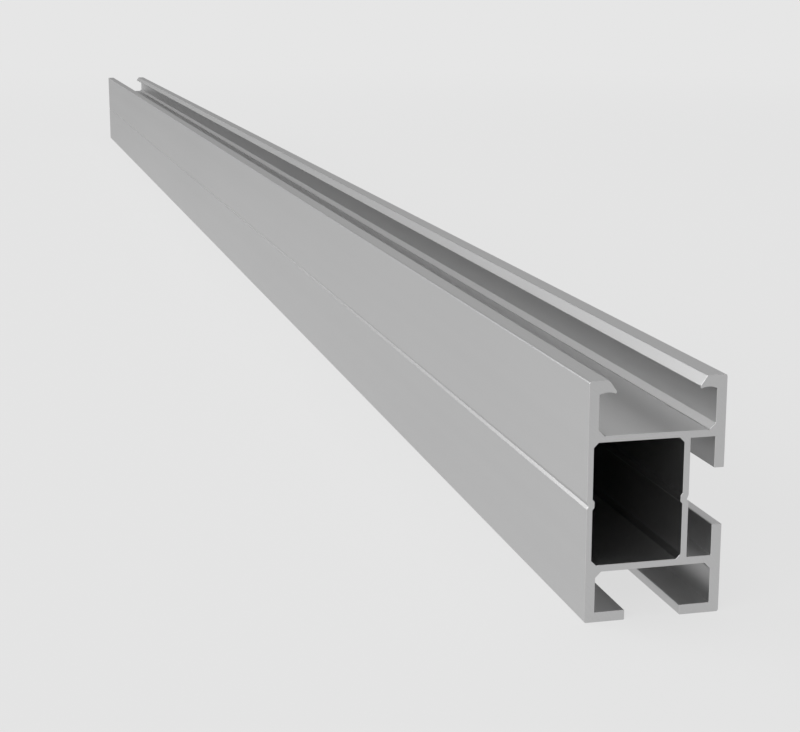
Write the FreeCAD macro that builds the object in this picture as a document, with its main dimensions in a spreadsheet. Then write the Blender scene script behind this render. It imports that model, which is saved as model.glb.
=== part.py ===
import FreeCAD, Part
import os
import Sketcher

# Solar mounting rail: one straight length of extruded aluminium, sawn square at both ends.
#
# The section is a closed chamber with three open channels round it. The module channel is on top, between
# two hooked lips. The bolt channel is on the +Y side, and the roof channel is below; each of these two is
# wide inside and has a slot for a hammer-head bolt. The -Y side is one plain wall with a fine groove.
#
# Frame: millimetres. +X runs along the rail, +Y towards the bolt channel and +Z up. The origin is at the
# middle of the underside, so the rail stands on its two bottom lips.

# Driving dimensions, in millimetres. Each becomes one cell of the sheet "Sizes", with its name as alias.
DRIVING = {
    "rail_length": 1400.0,
    "rail_width": 35.0,
    "rail_height": 60.0,
    # walls
    "plain_wall": 1.5,
    "chamber_wall": 1.6,
    "flange_wall": 2.6,
    "top_web": 1.6,
    "bottom_web": 1.7,
    "bottom_lip": 2.55,
    "top_lip": 3.3,
    # channels
    "top_channel_depth": 10.1,
    "bottom_channel_depth": 10.25,
    "side_channel_depth": 6.3,
    "side_channel_inset": 0.25,
    "bolt_slot": 14.3,
    "top_slot": 21.3,
    # hooked lips of the module channel
    "lip_bevel_width": 1.8,
    "lip_nose": 0.8,
    "lip_hollow_radius": 6.0,
    # corners
    "chamber_chamfer": 1.2,
    "channel_chamfer": 1.5,
    "corner_radius": 0.5,
    "edge_radius": 0.25,
    # fine grooves at mid height of the chamber, each with a bead behind it
    "groove_width": 1.6,
    "groove_depth": 0.45,
    "bead_width": 2.6,
    "bead_slope": 0.5,
    "bead_height": 0.5,
}

# Places in the section, as expressions of the sheet's cells. Y is across the rail and Z is up.
LEFT = "(-Sizes.rail_width / 2)"
RIGHT = "(Sizes.rail_width / 2)"
TOP = "Sizes.rail_height"
FLANGE_LEFT = f"({LEFT} + Sizes.flange_wall)"
FLANGE_RIGHT = f"({RIGHT} - Sizes.flange_wall)"
BOTTOM_CHANNEL_TOP = "(Sizes.bottom_lip + Sizes.bottom_channel_depth)"
CHAMBER_BOTTOM = f"({BOTTOM_CHANNEL_TOP} + Sizes.bottom_web)"
LIP_UNDERSIDE = f"({TOP} - Sizes.top_lip)"
CHANNEL_FLOOR = f"({LIP_UNDERSIDE} - Sizes.top_channel_depth)"
CHAMBER_TOP = f"({CHANNEL_FLOOR} - Sizes.top_web)"
CHAMBER_MIDDLE = f"(({CHAMBER_BOTTOM} + {CHAMBER_TOP}) / 2)"
CHAMBER_LEFT = f"({LEFT} + Sizes.plain_wall)"
SIDE_CHANNEL_BACK = f"({FLANGE_RIGHT} - Sizes.side_channel_depth)"
CHAMBER_RIGHT = f"({SIDE_CHANNEL_BACK} - Sizes.chamber_wall)"
SIDE_CHANNEL_BOTTOM = f"({CHAMBER_BOTTOM} + Sizes.side_channel_inset)"
SIDE_CHANNEL_TOP = f"({CHAMBER_TOP} - Sizes.side_channel_inset)"
BOLT_SLOT_LOW = f"({CHAMBER_MIDDLE} - Sizes.bolt_slot / 2)"
BOLT_SLOT_HIGH = f"({CHAMBER_MIDDLE} + Sizes.bolt_slot / 2)"
NOSE_TOP = f"({LIP_UNDERSIDE} + Sizes.lip_nose)"

# How a sketch numbers its own origin and the two ends of a line.
SKETCH_ORIGIN = (-1, 1)
LINE_START, LINE_END = 1, 2

# A place that differs by less than this, in millimetres, is the same place.
SAME = 1e-4


def fill_sheet(doc):
    """The spreadsheet of driving dimensions: one row each, the name beside its cell."""
    sheet = doc.addObject("Spreadsheet::Sheet", "Sizes")
    for row, (alias, size) in enumerate(DRIVING.items(), start=1):
        sheet.set(f"A{row}", alias)
        sheet.set(f"B{row}", str(size))
        sheet.setAlias(f"B{row}", alias)
    doc.recompute()
    return sheet


def measure(sheet, expression):
    """The value of an expression of the sheet's cells, in millimetres."""
    return float(sheet.evalExpression(expression))


def section_plane(body):
    """The body's YZ plane: a sketch on it has Y across and Z up."""
    for feature in body.Origin.OriginFeatures:
        if feature.Role == "YZ_Plane":
            return feature
    raise RuntimeError("the body has no YZ plane")


def new_sketch(body, name):
    sketch = body.newObject("Sketcher::SketchObject", name)
    sketch.AttachmentSupport = [(section_plane(body), "")]
    sketch.MapMode = "FlatFace"
    return sketch


def pin_point(sketch, sheet, line, end, place):
    """Ties one end of a line to a place given as two expressions."""
    for kind, expression in zip(("DistanceX", "DistanceY"), place):
        datum = Sketcher.Constraint(kind, *SKETCH_ORIGIN, line, end, measure(sheet, expression))
        index = sketch.addConstraint(datum)
        sketch.setExpression(f"Constraints[{index}]", expression)


def draw_outline(sketch, sheet, places, arcs=None):
    """Draws one closed outline through the places.

    arcs maps the number of a place to the expression of a radius: from that place the outline goes to the
    next one by an arc that bulges upwards, and everywhere else by a straight line.
    """
    arcs = arcs or {}
    points = [FreeCAD.Vector(measure(sheet, y), measure(sheet, z), 0) for y, z in places]
    count = len(points)
    first = sketch.GeometryCount
    for number, start in enumerate(points):
        end = points[(number + 1) % count]
        if number in arcs:
            radius = measure(sheet, arcs[number])
            half = (end - start).Length / 2
            rise = radius - (radius**2 - half**2) ** 0.5
            crown = (start + end) / 2 + FreeCAD.Vector(0, rise, 0)
            sketch.addGeometry(Part.Arc(start, crown, end))
        else:
            sketch.addGeometry(Part.LineSegment(start, end))
    # An arc in a sketch runs anticlockwise, so its own first point is the one with the larger Y.
    ends = {}
    for number in range(count):
        forward = number not in arcs or points[number].x > points[(number + 1) % count].x
        ends[number] = (LINE_START, LINE_END) if forward else (LINE_END, LINE_START)
    for number in range(count):
        after = (number + 1) % count
        link = (first + number, ends[number][1], first + after, ends[after][0])
        sketch.addConstraint(Sketcher.Constraint("Coincident", *link))
    for number, place in enumerate(places):
        before = (number - 1) % count
        if number not in arcs:
            pin_point(sketch, sheet, first + number, LINE_START, place)
        else:
            pin_point(sketch, sheet, first + before, LINE_END, place)
            radius = Sketcher.Constraint("Radius", first + number, measure(sheet, arcs[number]))
            index = sketch.addConstraint(radius)
            sketch.setExpression(f"Constraints[{index}]", arcs[number])


def pad_along_rail(body, sketch, name):
    pad = body.newObject("PartDesign::Pad", name)
    pad.Profile = sketch
    pad.Midplane = True
    pad.setExpression("Length", "Sizes.rail_length")
    sketch.Document.recompute()
    return pad


def cut_along_rail(body, sketch, name):
    """Cuts the sketch out of the whole length, and checks that something was cut."""
    before = body.Shape.Volume
    pocket = body.newObject("PartDesign::Pocket", name)
    pocket.Profile = sketch
    pocket.Midplane = True
    pocket.setExpression("Length", "Sizes.rail_length")
    sketch.Document.recompute()
    if body.Shape.Volume >= before:
        raise RuntimeError(f"{name} cut nothing")
    return pocket


def add_block(body, sheet):
    """The outline of the whole section, before the channels are cut."""
    sketch = new_sketch(body, "OutlineSketch")
    draw_outline(sketch, sheet, [(LEFT, "0"), (RIGHT, "0"), (RIGHT, TOP), (LEFT, TOP)])
    pad_along_rail(body, sketch, "Outline")


def cut_chamber(body, sheet):
    """The closed chamber: chamfered corners, and a bead on each side wall behind its groove."""
    near_left = f"({CHAMBER_LEFT} + Sizes.chamber_chamfer)"
    near_right = f"({CHAMBER_RIGHT} - Sizes.chamber_chamfer)"
    near_bottom = f"({CHAMBER_BOTTOM} + Sizes.chamber_chamfer)"
    near_top = f"({CHAMBER_TOP} - Sizes.chamber_chamfer)"
    bead_foot = "Sizes.bead_width / 2"
    bead_flat = "(Sizes.bead_width / 2 - Sizes.bead_slope)"
    bead_left = f"({CHAMBER_LEFT} + Sizes.bead_height)"
    bead_right = f"({CHAMBER_RIGHT} - Sizes.bead_height)"
    places = [
        (near_left, CHAMBER_BOTTOM),
        (near_right, CHAMBER_BOTTOM),
        (CHAMBER_RIGHT, near_bottom),
        (CHAMBER_RIGHT, f"{CHAMBER_MIDDLE} - {bead_foot}"),
        (bead_right, f"{CHAMBER_MIDDLE} - {bead_flat}"),
        (bead_right, f"{CHAMBER_MIDDLE} + {bead_flat}"),
        (CHAMBER_RIGHT, f"{CHAMBER_MIDDLE} + {bead_foot}"),
        (CHAMBER_RIGHT, near_top),
        (near_right, CHAMBER_TOP),
        (near_left, CHAMBER_TOP),
        (CHAMBER_LEFT, near_top),
        (CHAMBER_LEFT, f"{CHAMBER_MIDDLE} + {bead_foot}"),
        (bead_left, f"{CHAMBER_MIDDLE} + {bead_flat}"),
        (bead_left, f"{CHAMBER_MIDDLE} - {bead_flat}"),
        (CHAMBER_LEFT, f"{CHAMBER_MIDDLE} - {bead_foot}"),
        (CHAMBER_LEFT, near_bottom),
    ]
    sketch = new_sketch(body, "ChamberSketch")
    draw_outline(sketch, sheet, places)
    cut_along_rail(body, sketch, "Chamber")


def cut_module_channel(body, sheet):
    """The channel on top. Each lip ends in a bevelled nose and is hollowed underneath, which makes its hook."""
    slot = "Sizes.top_slot / 2"
    mouth = f"({slot} + Sizes.lip_bevel_width)"
    floor_edge = f"({FLANGE_RIGHT} - Sizes.channel_chamfer)"
    chamfer_top = f"({CHANNEL_FLOOR} + Sizes.channel_chamfer)"
    places = [
        (f"-{floor_edge}", CHANNEL_FLOOR),
        (floor_edge, CHANNEL_FLOOR),
        (FLANGE_RIGHT, chamfer_top),
        (FLANGE_RIGHT, LIP_UNDERSIDE),
        (slot, LIP_UNDERSIDE),
        (slot, NOSE_TOP),
        (mouth, TOP),
        (f"-{mouth}", TOP),
        (f"-{slot}", NOSE_TOP),
        (f"-{slot}", LIP_UNDERSIDE),
        (FLANGE_LEFT, LIP_UNDERSIDE),
        (FLANGE_LEFT, chamfer_top),
    ]
    hollow = "Sizes.lip_hollow_radius"
    sketch = new_sketch(body, "ModuleChannelSketch")
    draw_outline(sketch, sheet, places, arcs={3: hollow, 9: hollow})
    cut_along_rail(body, sketch, "ModuleChannel")


def cut_bolt_channel(body, sheet):
    """The channel in the +Y side, with its slot at mid height of the chamber."""
    places = [
        (SIDE_CHANNEL_BACK, SIDE_CHANNEL_BOTTOM),
        (FLANGE_RIGHT, SIDE_CHANNEL_BOTTOM),
        (FLANGE_RIGHT, BOLT_SLOT_LOW),
        (RIGHT, BOLT_SLOT_LOW),
        (RIGHT, BOLT_SLOT_HIGH),
        (FLANGE_RIGHT, BOLT_SLOT_HIGH),
        (FLANGE_RIGHT, SIDE_CHANNEL_TOP),
        (SIDE_CHANNEL_BACK, SIDE_CHANNEL_TOP),
    ]
    sketch = new_sketch(body, "BoltChannelSketch")
    draw_outline(sketch, sheet, places)
    cut_along_rail(body, sketch, "BoltChannel")


def cut_roof_channel(body, sheet):
    """The channel below, with its slot in the middle of the underside."""
    slot = "Sizes.bolt_slot / 2"
    ceiling_edge = f"({FLANGE_RIGHT} - Sizes.channel_chamfer)"
    chamfer_foot = f"({BOTTOM_CHANNEL_TOP} - Sizes.channel_chamfer)"
    places = [
        (f"-{slot}", "0"),
        (slot, "0"),
        (slot, "Sizes.bottom_lip"),
        (FLANGE_RIGHT, "Sizes.bottom_lip"),
        (FLANGE_RIGHT, chamfer_foot),
        (ceiling_edge, BOTTOM_CHANNEL_TOP),
        (f"-{ceiling_edge}", BOTTOM_CHANNEL_TOP),
        (FLANGE_LEFT, chamfer_foot),
        (FLANGE_LEFT, "Sizes.bottom_lip"),
        (f"-{slot}", "Sizes.bottom_lip"),
    ]
    sketch = new_sketch(body, "RoofChannelSketch")
    draw_outline(sketch, sheet, places)
    cut_along_rail(body, sketch, "RoofChannel")


def cut_fine_grooves(body, sheet):
    """A shallow V at mid height of the chamber, outside the plain wall and outside the chamber's own wall."""
    low = f"{CHAMBER_MIDDLE} - Sizes.groove_width / 2"
    high = f"{CHAMBER_MIDDLE} + Sizes.groove_width / 2"
    for name, face in (("PlainWallGroove", LEFT), ("ChamberWallGroove", SIDE_CHANNEL_BACK)):
        inwards = "+" if face is LEFT else "-"
        root = f"({face} {inwards} Sizes.groove_depth)"
        sketch = new_sketch(body, name + "Sketch")
        draw_outline(sketch, sheet, [(face, low), (root, CHAMBER_MIDDLE), (face, high)])
        cut_along_rail(body, sketch, name)


def round_edges(body, sheet, name, places, radius):
    """Rounds the edges that run along the rail at the places given."""
    wanted = [(measure(sheet, y), measure(sheet, z)) for y, z in places]
    found = []
    for number, edge in enumerate(body.Shape.Edges, start=1):
        box = edge.BoundBox
        runs_along = box.YLength < SAME and box.ZLength < SAME
        for y, z in wanted:
            if runs_along and abs(box.YMin - y) < SAME and abs(box.ZMin - z) < SAME:
                found.append(f"Edge{number}")
    if len(found) != len(wanted):
        raise RuntimeError(f"{name}: {len(found)} edges found of {len(wanted)}")
    solid = body.Tip
    fillet = body.newObject("PartDesign::Fillet", name)
    fillet.Base = (solid, found)
    fillet.setExpression("Radius", radius)
    body.Document.recompute()
    return fillet


def round_outer_corners(body, sheet):
    corners = [(LEFT, "0"), (RIGHT, "0"), (RIGHT, TOP), (LEFT, TOP)]
    round_edges(body, sheet, "OuterCorners", corners, "Sizes.corner_radius")


def round_lip_edges(body, sheet):
    """Takes the sharpness off the edges that line the three slots."""
    bolt = "Sizes.bolt_slot / 2"
    nose = "Sizes.top_slot / 2"
    mouth = f"({nose} + Sizes.lip_bevel_width)"
    places = []
    for side in ("", "-"):
        places.append((f"{side}{bolt}", "0"))
        places.append((f"{side}{bolt}", "Sizes.bottom_lip"))
        places.append((f"{side}{nose}", LIP_UNDERSIDE))
        places.append((f"{side}{nose}", NOSE_TOP))
        places.append((f"{side}{mouth}", TOP))
    for level in (BOLT_SLOT_LOW, BOLT_SLOT_HIGH):
        places.append((RIGHT, level))
        places.append((FLANGE_RIGHT, level))
    round_edges(body, sheet, "LipEdges", places, "Sizes.edge_radius")


def build_rail(doc, sheet):
    """The rail: one extruded piece, so one body."""
    body = doc.addObject("PartDesign::Body", "RailBody")
    body.Label = "rail"
    add_block(body, sheet)
    cut_chamber(body, sheet)
    cut_module_channel(body, sheet)
    cut_bolt_channel(body, sheet)
    cut_roof_channel(body, sheet)
    cut_fine_grooves(body, sheet)
    round_outer_corners(body, sheet)
    round_lip_edges(body, sheet)
    return body


def check_document(doc):
    """recompute() can leave a failed feature without an error, so each object's state is read."""
    for item in doc.Objects:
        if "Invalid" in item.State or "Error" in item.State:
            raise RuntimeError(f"{item.Label} failed: {item.State}")


def write_piece(body):
    shape = body.Shape
    if shape.isNull() or not shape.isValid() or len(shape.Solids) != 1:
        raise RuntimeError(f"{body.Label} is not one valid solid")
    os.makedirs("parts", exist_ok=True)
    shape.exportStep(f"parts/{body.Label}.step")
    section = shape.Volume / shape.BoundBox.XLength
    print(f"{body.Label}: {shape.BoundBox}, {shape.Volume:.1f} mm3, section {section:.1f} mm2")


def main():
    doc = FreeCAD.newDocument("MountingRail")
    sheet = fill_sheet(doc)
    rail = build_rail(doc, sheet)
    doc.recompute()
    check_document(doc)
    write_piece(rail)


main()
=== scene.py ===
# %% [markdown]
# # A solar mounting rail
#
# The rail is one straight length of extruded aluminium. Molten metal isn't poured for it: a hot billet is
# pressed through a steel die, and the hole of the die is the rail's section. That is how it is made here
# too. One outline is drawn with a radius at every corner, and the outline is carried along the length.

import math

import bpy
import numpy as np
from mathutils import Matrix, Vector
from mathutils.geometry import tessellate_polygon


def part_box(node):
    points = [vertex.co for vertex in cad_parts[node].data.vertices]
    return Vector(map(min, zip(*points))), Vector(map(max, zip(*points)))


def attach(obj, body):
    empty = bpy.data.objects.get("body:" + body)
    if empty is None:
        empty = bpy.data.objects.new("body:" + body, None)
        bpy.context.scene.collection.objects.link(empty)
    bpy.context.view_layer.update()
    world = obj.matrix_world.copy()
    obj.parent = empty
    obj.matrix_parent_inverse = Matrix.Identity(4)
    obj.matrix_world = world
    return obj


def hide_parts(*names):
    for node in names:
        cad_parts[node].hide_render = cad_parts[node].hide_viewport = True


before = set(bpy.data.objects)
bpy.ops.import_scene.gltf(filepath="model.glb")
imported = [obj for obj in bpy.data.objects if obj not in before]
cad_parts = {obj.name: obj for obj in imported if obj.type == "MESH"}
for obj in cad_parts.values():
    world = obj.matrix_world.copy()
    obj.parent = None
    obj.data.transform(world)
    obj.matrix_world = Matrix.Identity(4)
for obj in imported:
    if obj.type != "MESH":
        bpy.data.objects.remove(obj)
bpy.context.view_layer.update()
MM = 0.001

# %% [markdown]
# ## The camera
#
# The picture is taken from in front of one end, a little above it, with a long lens. A long lens is what
# keeps a rail of this length from shrinking to a point. The place was worked out from the rail's own
# edges, so the camera's place, its direction and its lens are three facts that belong together.

# %% The camera
CAMERA_PLACE = (1.073, -0.1558, 0.151)
CAMERA_AZIMUTH = math.radians(76.083)
CAMERA_ELEVATION = math.radians(12.437)
CAMERA_LENS = 77.784
CAMERA_SENSOR = 36.0
CAMERA_NEAREST = 0.01
CAMERA_FARTHEST = 200.0


def add_camera():
    """Direction in words: azimuth 0 looks along +Y and 90 along -X; the elevation tips the view down."""
    direction = Vector((
        -math.sin(CAMERA_AZIMUTH) * math.cos(CAMERA_ELEVATION),
        math.cos(CAMERA_AZIMUTH) * math.cos(CAMERA_ELEVATION),
        -math.sin(CAMERA_ELEVATION),
    ))
    data = bpy.data.cameras.new("camera")
    data.lens = CAMERA_LENS
    data.sensor_width = CAMERA_SENSOR
    data.clip_start = CAMERA_NEAREST
    data.clip_end = CAMERA_FARTHEST
    camera = bpy.data.objects.new("camera", data)
    camera.location = CAMERA_PLACE
    camera.rotation_euler = direction.to_track_quat("-Z", "Y").to_euler()
    bpy.context.scene.collection.objects.link(camera)
    bpy.context.scene.camera = camera


add_camera()
print("camera at", CAMERA_PLACE, "lens", CAMERA_LENS, "mm")

# %% [markdown]
# ## The sizes of the section
#
# The length, width and height come from the frame, so the new skin can't drift away from the solid. The
# walls and channels are the sizes that the die has. They are written once, in millimetres, and every place
# in the section is worked out from them.

# %% The sizes of the section
node_low, node_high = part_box("rail")
LENGTH = (node_high.x - node_low.x) / MM
WIDTH = (node_high.y - node_low.y) / MM
HEIGHT = (node_high.z - node_low.z) / MM

PLAIN_WALL = 1.5
CHAMBER_WALL = 1.6
FLANGE_WALL = 2.6
TOP_WEB = 1.6
BOTTOM_WEB = 1.7
BOTTOM_LIP = 2.55
TOP_LIP = 3.3
TOP_CHANNEL_DEPTH = 10.1
BOTTOM_CHANNEL_DEPTH = 10.25
SIDE_CHANNEL_DEPTH = 6.3
SIDE_CHANNEL_INSET = 0.25
BOLT_SLOT = 14.3
TOP_SLOT = 21.3
LIP_BEVEL_WIDTH = 1.8
LIP_NOSE = 0.8
LIP_HOLLOW = 0.39
CHAMBER_CHAMFER = 1.2
CHANNEL_CHAMFER = 1.5
GROOVE_ABOVE = 0.75
GROOVE_BELOW = 1.05
GROOVE_DROP = 0.3
GROOVE_DEPTH = 0.45
BEAD_WIDTH = 2.6
BEAD_SLOPE = 0.5
BEAD_HEIGHT = 0.5
FOOT_LINE_WIDTH = 0.35
FOOT_LINE_DEPTH = 0.25

RIGHT = WIDTH / 2
FLANGE = RIGHT - FLANGE_WALL
CHANNEL_TOP = BOTTOM_LIP + BOTTOM_CHANNEL_DEPTH
CHAMBER_LOW = CHANNEL_TOP + BOTTOM_WEB
LIP_UNDERSIDE = HEIGHT - TOP_LIP
CHANNEL_FLOOR = LIP_UNDERSIDE - TOP_CHANNEL_DEPTH
CHAMBER_HIGH = CHANNEL_FLOOR - TOP_WEB
CHAMBER_LEFT = PLAIN_WALL - RIGHT
CHANNEL_BACK = FLANGE - SIDE_CHANNEL_DEPTH
CHAMBER_RIGHT = CHANNEL_BACK - CHAMBER_WALL
MIDDLE = (CHAMBER_LOW + CHAMBER_HIGH) / 2
print(f"rail {LENGTH:.0f} x {WIDTH:.0f} x {HEIGHT:.0f} mm, groove at {MIDDLE:.2f} mm")

# %% [markdown]
# ## The outline
#
# A die has no truly sharp corner, because hot metal won't fill one, and a rail's edges show as thin bright
# lines for that reason. So a corner here is a point with a radius. The outer edges have the largest, the
# lips round the slots a smaller one, and the inner corners the smallest.
#
# The hooked lips are hollow underneath. A shallow hollow is a very wide corner: one point above the lip's
# underside, with a radius of some millimetres, and its two sides run down to the nose and to the wall. The
# V groove and the fine line at the foot of each floor chamfer are three corners each, and nothing more.

# %% The outline
OUTER_RADIUS = 0.6
MOUTH_RADIUS = 0.5
LIP_RADIUS = 0.25
INNER_RADIUS = 0.22
FINE_RADIUS = 0.12
SHARP_RADIUS = 0.05
HOLLOW_RADIUS = 5.0


def top_lip(side):
    """One side of the module channel: from the top edge round the lip and down the wall to the floor."""
    nose = TOP_SLOT / 2
    middle = (nose + FLANGE) / 2
    hollow_point = LIP_UNDERSIDE + 2 * LIP_HOLLOW
    foot = FLANGE - CHANNEL_CHAMFER
    return [
        (side * (nose + LIP_BEVEL_WIDTH), HEIGHT, MOUTH_RADIUS),
        (side * nose, LIP_UNDERSIDE + LIP_NOSE, LIP_RADIUS),
        (side * nose, LIP_UNDERSIDE, LIP_RADIUS),
        (side * middle, hollow_point, HOLLOW_RADIUS),
        (side * FLANGE, LIP_UNDERSIDE, FINE_RADIUS),
        (side * FLANGE, CHANNEL_FLOOR + CHANNEL_CHAMFER, INNER_RADIUS),
        (side * foot, CHANNEL_FLOOR, SHARP_RADIUS),
        (side * (foot - SHARP_RADIUS), CHANNEL_FLOOR - FOOT_LINE_DEPTH, SHARP_RADIUS),
        (side * (foot - FOOT_LINE_WIDTH), CHANNEL_FLOOR, SHARP_RADIUS),
    ]


def bottom_lip(side):
    """One lip of the roof channel, from the outer bottom edge inwards and up to the channel's ceiling."""
    slot = BOLT_SLOT / 2
    return [
        (side * RIGHT, 0.0, OUTER_RADIUS),
        (side * slot, 0.0, LIP_RADIUS),
        (side * slot, BOTTOM_LIP, LIP_RADIUS),
        (side * FLANGE, BOTTOM_LIP, SHARP_RADIUS),
        (side * FLANGE, CHANNEL_TOP - CHANNEL_CHAMFER, INNER_RADIUS),
        (side * (FLANGE - CHANNEL_CHAMFER), CHANNEL_TOP, INNER_RADIUS),
    ]


def fine_groove(face, inwards):
    """The V groove in a wall at about mid height, from below upwards."""
    return [
        (face, MIDDLE - GROOVE_BELOW, FINE_RADIUS),
        (face + inwards * GROOVE_DEPTH, MIDDLE - GROOVE_DROP, SHARP_RADIUS),
        (face, MIDDLE + GROOVE_ABOVE, FINE_RADIUS),
    ]


def bolt_channel():
    """The channel in the +Y side, from the outer face inwards round the channel and out again."""
    low, high = MIDDLE - BOLT_SLOT / 2, MIDDLE + BOLT_SLOT / 2
    bottom, top = CHAMBER_LOW + SIDE_CHANNEL_INSET, CHAMBER_HIGH - SIDE_CHANNEL_INSET
    return [
        (RIGHT, low, LIP_RADIUS),
        (FLANGE, low, LIP_RADIUS),
        (FLANGE, bottom, SHARP_RADIUS),
        (CHANNEL_BACK, bottom, SHARP_RADIUS),
        *fine_groove(CHANNEL_BACK, -1),
        (CHANNEL_BACK, top, SHARP_RADIUS),
        (FLANGE, top, SHARP_RADIUS),
        (FLANGE, high, LIP_RADIUS),
        (RIGHT, high, LIP_RADIUS),
    ]


def outer_corners():
    """The whole outer outline, anticlockwise as seen from the +X end."""
    return [
        *bottom_lip(-1),
        *reversed(bottom_lip(1)),
        *bolt_channel(),
        (RIGHT, HEIGHT, OUTER_RADIUS),
        *top_lip(1),
        *reversed(top_lip(-1)),
        (-RIGHT, HEIGHT, OUTER_RADIUS),
        *reversed(fine_groove(-RIGHT, 1)),
    ]


def chamber_corners():
    """The closed chamber, clockwise, because its metal is on the outside."""
    cut = CHAMBER_CHAMFER
    foot, flat = BEAD_WIDTH / 2, BEAD_WIDTH / 2 - BEAD_SLOPE

    def wall(y, inwards):
        """One side wall with its low bead, from below upwards."""
        bead = y + inwards * BEAD_HEIGHT
        return [
            (y, CHAMBER_LOW + cut, INNER_RADIUS),
            (y, MIDDLE - foot, FINE_RADIUS),
            (bead, MIDDLE - flat, FINE_RADIUS),
            (bead, MIDDLE + flat, FINE_RADIUS),
            (y, MIDDLE + foot, FINE_RADIUS),
            (y, CHAMBER_HIGH - cut, INNER_RADIUS),
        ]

    return [
        (CHAMBER_LEFT + cut, CHAMBER_LOW, INNER_RADIUS),
        *wall(CHAMBER_LEFT, 1),
        (CHAMBER_LEFT + cut, CHAMBER_HIGH, INNER_RADIUS),
        (CHAMBER_RIGHT - cut, CHAMBER_HIGH, INNER_RADIUS),
        *reversed(wall(CHAMBER_RIGHT, -1)),
        (CHAMBER_RIGHT - cut, CHAMBER_LOW, INNER_RADIUS),
    ]


print(len(outer_corners()), "outer corners,", len(chamber_corners()), "chamber corners")

# %% [markdown]
# ## Rounding every corner at once
#
# Each corner becomes a short arc that starts and ends along its two sides. The arc's normal turns evenly
# from one side's normal to the other's, so the normals are known exactly and needn't be guessed from the
# triangles. Exact normals keep the flat walls flat right up to the arcs.

# %% Rounding every corner at once
ARC_STEPS = 6


def round_outline(corners):
    """Points and outward normals of a closed outline whose corners have radii.

    In words: the arc's centre lies on the line that halves the corner, at radius / cos(half the turn) from
    the corner. Each of its points is the centre plus the radius times the normal, or minus it at an inner
    corner.
    """
    table = np.array(corners, float)
    place, radius = table[:, :2], table[:, 2]
    ahead = np.roll(place, -1, axis=0) - place
    ahead /= np.linalg.norm(ahead, axis=1, keepdims=True)
    before = np.roll(ahead, 1, axis=0)
    turn = np.arctan2(
        before[:, 0] * ahead[:, 1] - before[:, 1] * ahead[:, 0],
        (before * ahead).sum(axis=1),
    )
    inward = ahead - before
    inward /= np.linalg.norm(inward, axis=1, keepdims=True)
    centre = place + inward * (radius / np.cos(turn / 2))[:, None]
    start = np.arctan2(-before[:, 0], before[:, 1])
    angle = start[:, None] + turn[:, None] * np.linspace(0, 1, ARC_STEPS + 1)
    normal = np.stack([np.cos(angle), np.sin(angle)], axis=-1)
    bulge = np.sign(turn)[:, None, None] * radius[:, None, None]
    points = centre[:, None, :] + bulge * normal
    return points.reshape(-1, 2), normal.reshape(-1, 2)


outer_points, outer_normals = round_outline(outer_corners())
chamber_points, chamber_normals = round_outline(chamber_corners())
print(len(outer_points), "points round the outside,", len(chamber_points), "round the chamber")

# %% [markdown]
# ## Carrying the outline along the rail
#
# The skin is a function of two parameters: where on the outline, and how far along. At each end the saw
# leaves an edge that is broken very slightly, so the last rings draw in along a quarter circle and their
# normals turn from sideways to straight out. The sawn faces then close the ends, with the chamber left open.

# %% Carrying the outline along the rail
EDGE_BREAK = 0.1
EDGE_STEPS = 3
RING_SPACING = 40.0
SMALLEST_AREA = 1e-12


def rings_along():
    """For each ring: its place along X, how far it is drawn into the metal, and its normal's lean to +X.

    In words: near an end, place = end - break * (1 - sin), inset = break * (1 - cos), and the lean is the
    sin. Between the ends nothing is drawn in and nothing leans.
    """
    quarter = np.linspace(0, math.pi / 2, EDGE_STEPS + 1)
    half = LENGTH / 2
    right = half - EDGE_BREAK * (1 - np.sin(quarter))
    inset = EDGE_BREAK * (1 - np.cos(quarter))
    lean = np.sin(quarter)
    count = int(round(LENGTH / RING_SPACING)) + 1
    between = np.linspace(EDGE_BREAK - half, half - EDGE_BREAK, count)[1:-1]
    flat = np.zeros(len(between))
    place = np.concatenate([-right[::-1], between, right])
    return place, np.concatenate([inset[::-1], flat, inset]), np.concatenate([-lean[::-1], flat, lean])


def sweep(points, normals, first):
    """The skin of one outline: vertices, normals and faces, numbered from first.

    In words: each ring is the outline less its inset times the normals. A skin normal is the lean along X
    and, across it, the outline's normal times the square root of 1 less the lean squared.
    """
    place, inset, lean = rings_along()
    rings, count = len(place), len(points)
    section = points[None] - inset[:, None, None] * normals[None]
    x = np.broadcast_to(place[:, None, None], (rings, count, 1))
    vertices = np.concatenate([x, section], axis=2).reshape(-1, 3) * MM
    upright = np.sqrt(1 - lean**2)[:, None, None] * normals[None]
    leaning = np.broadcast_to(lean[:, None, None], (rings, count, 1))
    directions = np.concatenate([leaning, upright], axis=2).reshape(-1, 3)
    ring, step = np.meshgrid(np.arange(rings - 1), np.arange(count), indexing="ij")
    after = (step + 1) % count
    this, following = ring * count, (ring + 1) * count
    corners = [this + step, this + after, following + after, following + step]
    faces = np.stack(corners, axis=-1).reshape(-1, 4) + first
    return vertices, directions, faces


def sawn_face(outer, chamber, offset):
    """Triangles between the outer outline and the chamber's, as vertex numbers and as places."""
    loops = [[Vector((y, z, 0)) for y, z in loop] for loop in (outer, chamber)]
    triangles = np.array(tessellate_polygon(loops))
    numbers = np.concatenate([offset[0] + np.arange(len(outer)), offset[1] + np.arange(len(chamber))])
    return numbers[triangles], np.concatenate([outer, chamber])[triangles]


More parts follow.
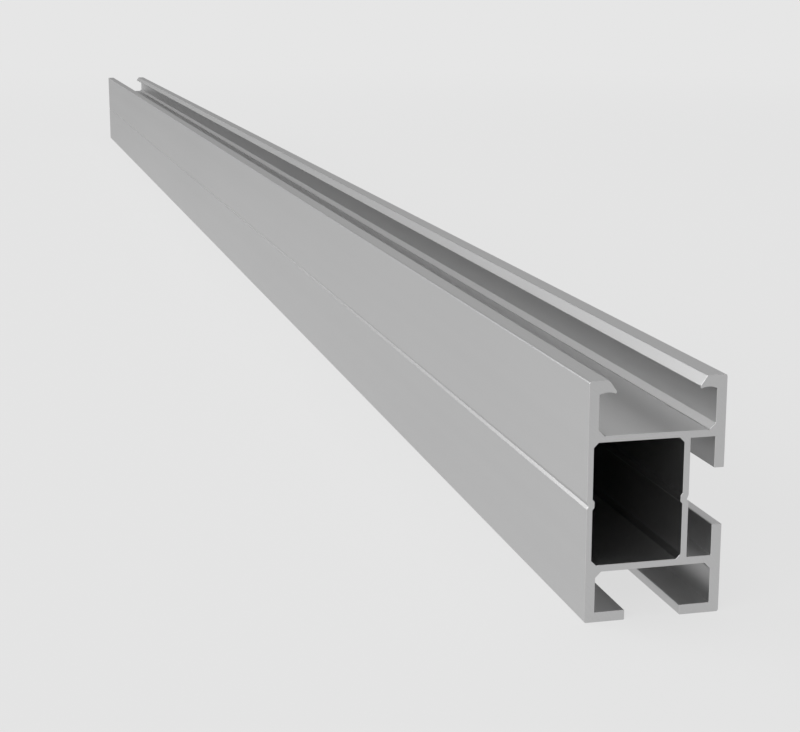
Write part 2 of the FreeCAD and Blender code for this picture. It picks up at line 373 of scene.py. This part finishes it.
def facing(triangles, places, direction):
    """The triangles turned so that they all face along +X or -X, without those that have no area.

    In words: the cross product of two sides is twice the area, and it is above zero where the corners run
    anticlockwise as seen from the +X end.
    """
    a, b, c = places[:, 0], places[:, 1], places[:, 2]
    area = (b[:, 0] - a[:, 0]) * (c[:, 1] - a[:, 1]) - (b[:, 1] - a[:, 1]) * (c[:, 0] - a[:, 0])
    wrong = area * direction < 0
    triangles[wrong] = triangles[wrong][:, ::-1]
    return triangles[np.abs(area) > SMALLEST_AREA]


def build_rail():
    """The skins of the outside and the chamber, closed by the two sawn faces, as one object."""
    outer = sweep(outer_points, outer_normals, 0)
    chamber = sweep(chamber_points, chamber_normals, len(outer[0]))
    vertices = np.concatenate([outer[0], chamber[0]])
    directions = np.concatenate([outer[1], chamber[1]])
    skin = np.concatenate([outer[2], chamber[2]])
    n_outer, n_chamber = len(outer_points), len(chamber_points)
    drawn_outer = outer_points - EDGE_BREAK * outer_normals
    drawn_chamber = chamber_points - EDGE_BREAK * chamber_normals
    ends = []
    for direction, offset in (
        (-1, (0, len(outer[0]))),
        (1, (len(outer[0]) - n_outer, len(vertices) - n_chamber)),
    ):
        triangles, places = sawn_face(drawn_outer, drawn_chamber, offset)
        ends.append(facing(triangles, places, direction))
    caps = np.concatenate(ends)
    mesh = bpy.data.meshes.new("rail_skin")
    mesh.from_pydata(vertices.tolist(), [], skin.tolist() + caps.tolist())
    mesh.polygons.foreach_set("use_smooth", np.ones(len(mesh.polygons), bool))
    slots = np.concatenate([np.zeros(len(skin), np.int32), np.ones(len(caps), np.int32)])
    mesh.polygons.foreach_set("material_index", slots)
    mesh.update()
    mesh.normals_split_custom_set_from_vertices(directions.tolist())
    rail = bpy.data.objects.new("rail_skin", mesh)
    bpy.context.scene.collection.objects.link(rail)
    return rail


rail = build_rail()
print("rail skin:", len(rail.data.vertices), "vertices,", len(rail.data.polygons), "faces")

# %% [markdown]
# ## Shader maths as plain expressions
#
# A material is a graph of nodes, and a sum of two textures is a Math node with two links. Written out, that
# hides the idea. A small class holds one output of the graph and gives it the usual operators, so a pattern
# reads as the formula that it is.

# %% Shader maths as plain expressions
class Signal:
    """One output of a node: a number, a place, a colour or a shader. Operators on numbers add Math nodes."""

    def __init__(self, graph, socket):
        self.graph = graph
        self.socket = socket

    def math(self, operation, *others):
        """A Math operation on this number and the others."""
        values = {index: value for index, value in enumerate((self, *others))}
        return self.graph.node("ShaderNodeMath", {"operation": operation}, values)

    def __add__(self, other):
        return self.math("ADD", other)

    __radd__ = __add__

    def __sub__(self, other):
        return self.math("SUBTRACT", other)

    def __rsub__(self, other):
        return self.math("MULTIPLY", -1.0).math("ADD", other)

    def __mul__(self, other):
        return self.math("MULTIPLY", other)

    __rmul__ = __mul__


# The Mix node has sockets of the same name for numbers, vectors and colours, so its colours go by number.
FIRST_COLOUR, SECOND_COLOUR, MIXED_COLOUR = 6, 7, 2


class Graph:
    """The nodes of one material or world."""

    def __init__(self, owner):
        owner.use_nodes = True
        self.tree = owner.node_tree
        self.tree.nodes.clear()

    def node(self, kind, settings=None, values=None, output=0):
        """Adds a node: first its settings, then its sockets' values or links. Gives back one output."""
        made = self.tree.nodes.new(kind)
        for name, value in (settings or {}).items():
            setattr(made, name, value)
        for name, value in (values or {}).items():
            socket = made.inputs[name]
            if isinstance(value, Signal):
                self.tree.links.new(value.socket, socket)
            else:
                socket.default_value = value
        return Signal(self, made.outputs[output])

    def place(self):
        """Object coordinates: metres in the rail's own frame."""
        return self.node("ShaderNodeTexCoord", output="Object")

    def stretched(self, place, scale):
        """Coordinates with each axis multiplied by its own number."""
        return self.node("ShaderNodeVectorMath", {"operation": "MULTIPLY"}, {0: place, 1: scale})

    def distance(self, place, point):
        """How far each place is from one point, in metres."""
        values = {0: place, 1: point}
        return self.node("ShaderNodeVectorMath", {"operation": "DISTANCE"}, values, output="Value")

    def noise(self, place, scale, detail):
        """Soft noise between about 0 and 1, with a mean of about a half."""
        return self.node(
            "ShaderNodeTexNoise",
            {"noise_dimensions": "3D"},
            {"Vector": self.stretched(place, scale), "Scale": 1.0, "Detail": detail},
        )

    def blend(self, factor, first, second):
        """A colour between two colours."""
        return self.node(
            "ShaderNodeMix",
            {"data_type": "RGBA"},
            {"Factor": factor, FIRST_COLOUR: (*first, 1.0), SECOND_COLOUR: (*second, 1.0)},
            output=MIXED_COLOUR,
        )

    def show(self, kind, shader):
        """Links a shader to the output node of a material or world."""
        self.tree.links.new(shader.socket, self.tree.nodes.new(kind).inputs["Surface"])


# %% [markdown]
# ## The skin of extruded metal
#
# Metal that has slid through a die keeps the die's marks: very fine lines along the rail, and wider bands
# that are a touch lighter or darker. Across the rail the lines change every fraction of a millimetre and
# the bands every few millimetres, and along it they hardly change. So each is noise on object coordinates
# that are multiplied by hundreds or thousands across the rail and hardly at all along it. Soft clouds some
# centimetres wide keep the whole from looking even. The same noise lifts the surface by a few thousandths
# of a millimetre and changes its roughness.

# %% The skin of extruded metal
SKIN_LIGHT = (0.665, 0.665, 0.665)
SKIN_DARK = (0.615, 0.615, 0.617)
SKIN_ROUGHNESS = 0.36
SKIN_SPREAD = 0.06
SKIN_RELIEF = 2.5e-6
GRAZING_TINT = (0.75, 0.75, 0.75, 1.0)
LINE_STRETCH = (2.0, 2600.0, 2600.0)
BAND_STRETCH = (0.7, 210.0, 210.0)
CLOUD_STRETCH = (9.0, 22.0, 22.0)
LINE_SHARE = 0.25
BAND_SHARE = 0.45
CLOUD_SHARE = 0.3
BAND_LIFT = 4.0


def skin_material():
    """The metal as it left the die.

    In words: the tone is a share of the lines, of the bands and of the clouds. It sets the colour and the
    roughness. The height is the lines plus the bands, which are lifted more.
    """
    material = bpy.data.materials.new("extruded aluminium")
    graph = Graph(material)
    place = graph.place()
    lines = graph.noise(place, LINE_STRETCH, detail=3.0)
    bands = graph.noise(place, BAND_STRETCH, detail=2.0)
    clouds = graph.noise(place, CLOUD_STRETCH, detail=3.0)
    tone = LINE_SHARE * lines + BAND_SHARE * bands + CLOUD_SHARE * clouds
    normal = graph.node(
        "ShaderNodeBump",
        values={"Strength": 1.0, "Distance": SKIN_RELIEF, "Height": lines + BAND_LIFT * bands},
    )
    metal = graph.node(
        "ShaderNodeBsdfPrincipled",
        values={
            "Base Color": graph.blend(tone, SKIN_DARK, SKIN_LIGHT),
            "Metallic": 1.0,
            "Roughness": SKIN_ROUGHNESS - SKIN_SPREAD / 2 + SKIN_SPREAD * tone,
            "Specular Tint": GRAZING_TINT,
            "Normal": normal,
        },
    )
    graph.show("ShaderNodeOutputMaterial", metal)
    return material


# %% [markdown]
# ## The sawn ends
#
# A circular saw leaves shallow arcs, all about the saw's own centre, which lies off to one side of the rail
# and below it. The distance from that centre, pushed through noise, gives the arcs. They are far less deep
# than a hair is thick, so they change the gloss more than the shape.

# %% The sawn ends
SAW_CENTRE = (0.0, -0.11, -0.06)
SAW_PITCH = 0.0004
SAWN_LIGHT = (0.64, 0.64, 0.64)
SAWN_DARK = (0.575, 0.575, 0.577)
SAWN_ROUGHNESS = 0.42
SAWN_SPREAD = 0.08
SAWN_RELIEF = 6e-6
GRAIN_STRETCH = (900.0, 900.0, 900.0)
ARC_SHARE = 0.6
GRAIN_SHARE = 0.4


def sawn_material():
    """The metal as the saw left it.

    In words: the arcs are noise on the distance from the saw's centre, divided by the pitch. The tone is a
    share of the arcs and of a fine grain. It sets the colour, the roughness and the height.
    """
    material = bpy.data.materials.new("sawn aluminium")
    graph = Graph(material)
    place = graph.place()
    flat = graph.stretched(place, (0.0, 1.0, 1.0))
    away = graph.distance(flat, SAW_CENTRE)
    arcs = graph.node(
        "ShaderNodeTexNoise",
        {"noise_dimensions": "1D"},
        {"W": away, "Scale": 1 / SAW_PITCH, "Detail": 2.0},
    )
    grain = graph.noise(place, GRAIN_STRETCH, detail=3.0)
    tone = ARC_SHARE * arcs + GRAIN_SHARE * grain
    normal = graph.node(
        "ShaderNodeBump",
        values={"Strength": 1.0, "Distance": SAWN_RELIEF, "Height": tone},
    )
    metal = graph.node(
        "ShaderNodeBsdfPrincipled",
        values={
            "Base Color": graph.blend(tone, SAWN_DARK, SAWN_LIGHT),
            "Metallic": 1.0,
            "Roughness": SAWN_ROUGHNESS - SAWN_SPREAD / 2 + SAWN_SPREAD * tone,
            "Specular Tint": GRAZING_TINT,
            "Normal": normal,
        },
    )
    graph.show("ShaderNodeOutputMaterial", metal)
    return material


rail.data.materials.append(skin_material())
rail.data.materials.append(sawn_material())
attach(rail, "root")
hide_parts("rail")
print("materials:", [m.name for m in rail.data.materials])

# %% [markdown]
# ## The floor
#
# The rail lies on a pale floor that goes on to the horizon. To the camera it glows evenly at the
# background's grey. In the metal's reflections it is a pool of light, brightest by the rail's near end and
# dimmer a metre or two away. Near the rail a share of it is plain matt paint, which takes the shadow. Seen
# from below it is clear.

# %% The floor
FLOOR_GREY = 0.791
FLOOR_SIZE = 120.0
FLOOR_PAINT = 0.72
SHADOW_SHARE = 0.15
SHADOW_REACH = (0.55, 2.2)
POOL_MIDDLE = (0.7, 0.0, 0.0)
POOL_REACH = (0.3, 2.0)
POOL_GREY = (0.77, 0.60)


def floor_material():
    """A floor that glows where it is seen, and is paint where it only passes light on.

    In words: from below it is clear. To the camera, in reflections and through glass it is a glow with a
    share of paint mixed in. To all other light it is paint alone.
    """
    material = bpy.data.materials.new("pale floor")
    graph = Graph(material)
    camera, glossy, through = [
        graph.node("ShaderNodeLightPath", output=name)
        for name in ("Is Camera Ray", "Is Glossy Ray", "Is Transmission Ray")
    ]

    def fading(middle, reach, values):
        """From the first value near the middle to the second value far from it."""
        away = graph.distance(graph.place(), middle)
        ends = {"From Min": reach[0], "From Max": reach[1], "To Min": values[0], "To Max": values[1]}
        return graph.node("ShaderNodeMapRange", {"interpolation_type": "SMOOTHSTEP"}, {"Value": away, **ends})

    pool = fading(POOL_MIDDLE, POOL_REACH, POOL_GREY)
    grey = FLOOR_GREY + glossy * (pool - FLOOR_GREY)
    paint_colour = (FLOOR_PAINT, FLOOR_PAINT, FLOOR_PAINT, 1.0)
    paint = graph.node("ShaderNodeBsdfDiffuse", values={"Color": paint_colour})
    glow = graph.node("ShaderNodeEmission", values={"Color": grey, "Strength": 1.0})
    share = SHADOW_SHARE * fading((0.0, 0.0, 0.0), SHADOW_REACH, (1.0, 0.0))
    look = graph.node("ShaderNodeMixShader", values={0: share, 1: glow, 2: paint})
    seen = camera.math("MAXIMUM", glossy).math("MAXIMUM", through)
    floor = graph.node("ShaderNodeMixShader", values={0: seen, 1: paint, 2: look})
    clear = graph.node("ShaderNodeBsdfTransparent")
    below = graph.node("ShaderNodeNewGeometry", output="Backfacing")
    whole = graph.node("ShaderNodeMixShader", values={0: below, 1: floor, 2: clear})
    graph.show("ShaderNodeOutputMaterial", whole)
    return material


def add_floor():
    """A square about the origin, level with the rail's underside."""
    half = FLOOR_SIZE / 2
    mesh = bpy.data.meshes.new("floor")
    corners = [(-half, -half, 0), (half, -half, 0), (half, half, 0), (-half, half, 0)]
    mesh.from_pydata(corners, [], [(0, 1, 2, 3)])
    mesh.materials.append(floor_material())
    floor = bpy.data.objects.new("floor", mesh)
    bpy.context.scene.collection.objects.link(floor)


add_floor()
print("floor grey", FLOOR_GREY)

# %% [markdown]
# ## The light
#
# The room is an even grey, and four soft boxes shape the metal. Bare metal has no colour of its own to
# show: it shows the room. The two boxes on the left give the long edges and the bevels their bright lines,
# because that is where those slopes point. The one overhead is spread over what faces up, and the faint one
# at the far right keeps the tops of the lips from going dark. A box's brightness is what shows in the
# metal, so the boxes are wide rather than strong: the same light then leaves a softer sheen.

# %% The light
ROOM_GREY = 0.41
RAIL_MIDDLE = (0.0, 0.0, 0.03)
# For each box: its name, its place, its width and height in metres, and the brightness of its face.
SOFT_BOXES = (
    ("far left box", (-2.4, -3.9, 2.1), 4.4, 3.4, 2.5),
    ("near left box", (3.3, -3.3, 1.75), 4.2, 3.0, 2.7),
    ("far right box", (-4.1, 1.9, 2.1), 2.4, 2.0, 0.25),
    ("overhead box", (0.0, 0.0, 5.0), 4.3, 4.3, 1.3),
)


def add_room():
    """An even grey all round, which the camera itself sees in the floor's grey."""
    world = bpy.data.worlds.new("room")
    bpy.context.scene.world = world
    graph = Graph(world)
    camera_ray = graph.node("ShaderNodeLightPath", output="Is Camera Ray")
    room = (ROOM_GREY, ROOM_GREY, ROOM_GREY)
    background = (FLOOR_GREY, FLOOR_GREY, FLOOR_GREY)
    colour = graph.blend(camera_ray, room, background)
    light = graph.node("ShaderNodeBackground", values={"Color": colour, "Strength": 1.0})
    graph.show("ShaderNodeOutputWorld", light)


def add_soft_box(name, place, width, height, brightness):
    """A rectangular lamp that faces the rail. A brightness of 1 is white.

    In words: an area lamp's power is pi * its area * the brightness of its face.
    """
    data = bpy.data.lights.new(name, "AREA")
    data.shape = "RECTANGLE"
    data.size = width
    data.size_y = height
    data.energy = brightness * math.pi * width * height
    lamp = bpy.data.objects.new(name, data)
    lamp.location = place
    lamp.rotation_euler = (Vector(RAIL_MIDDLE) - Vector(place)).to_track_quat("-Z", "Y").to_euler()
    lamp.visible_camera = False
    bpy.context.scene.collection.objects.link(lamp)


add_room()
for soft_box in SOFT_BOXES:
    add_soft_box(*soft_box)
bpy.context.scene.view_settings.view_transform = "Standard"
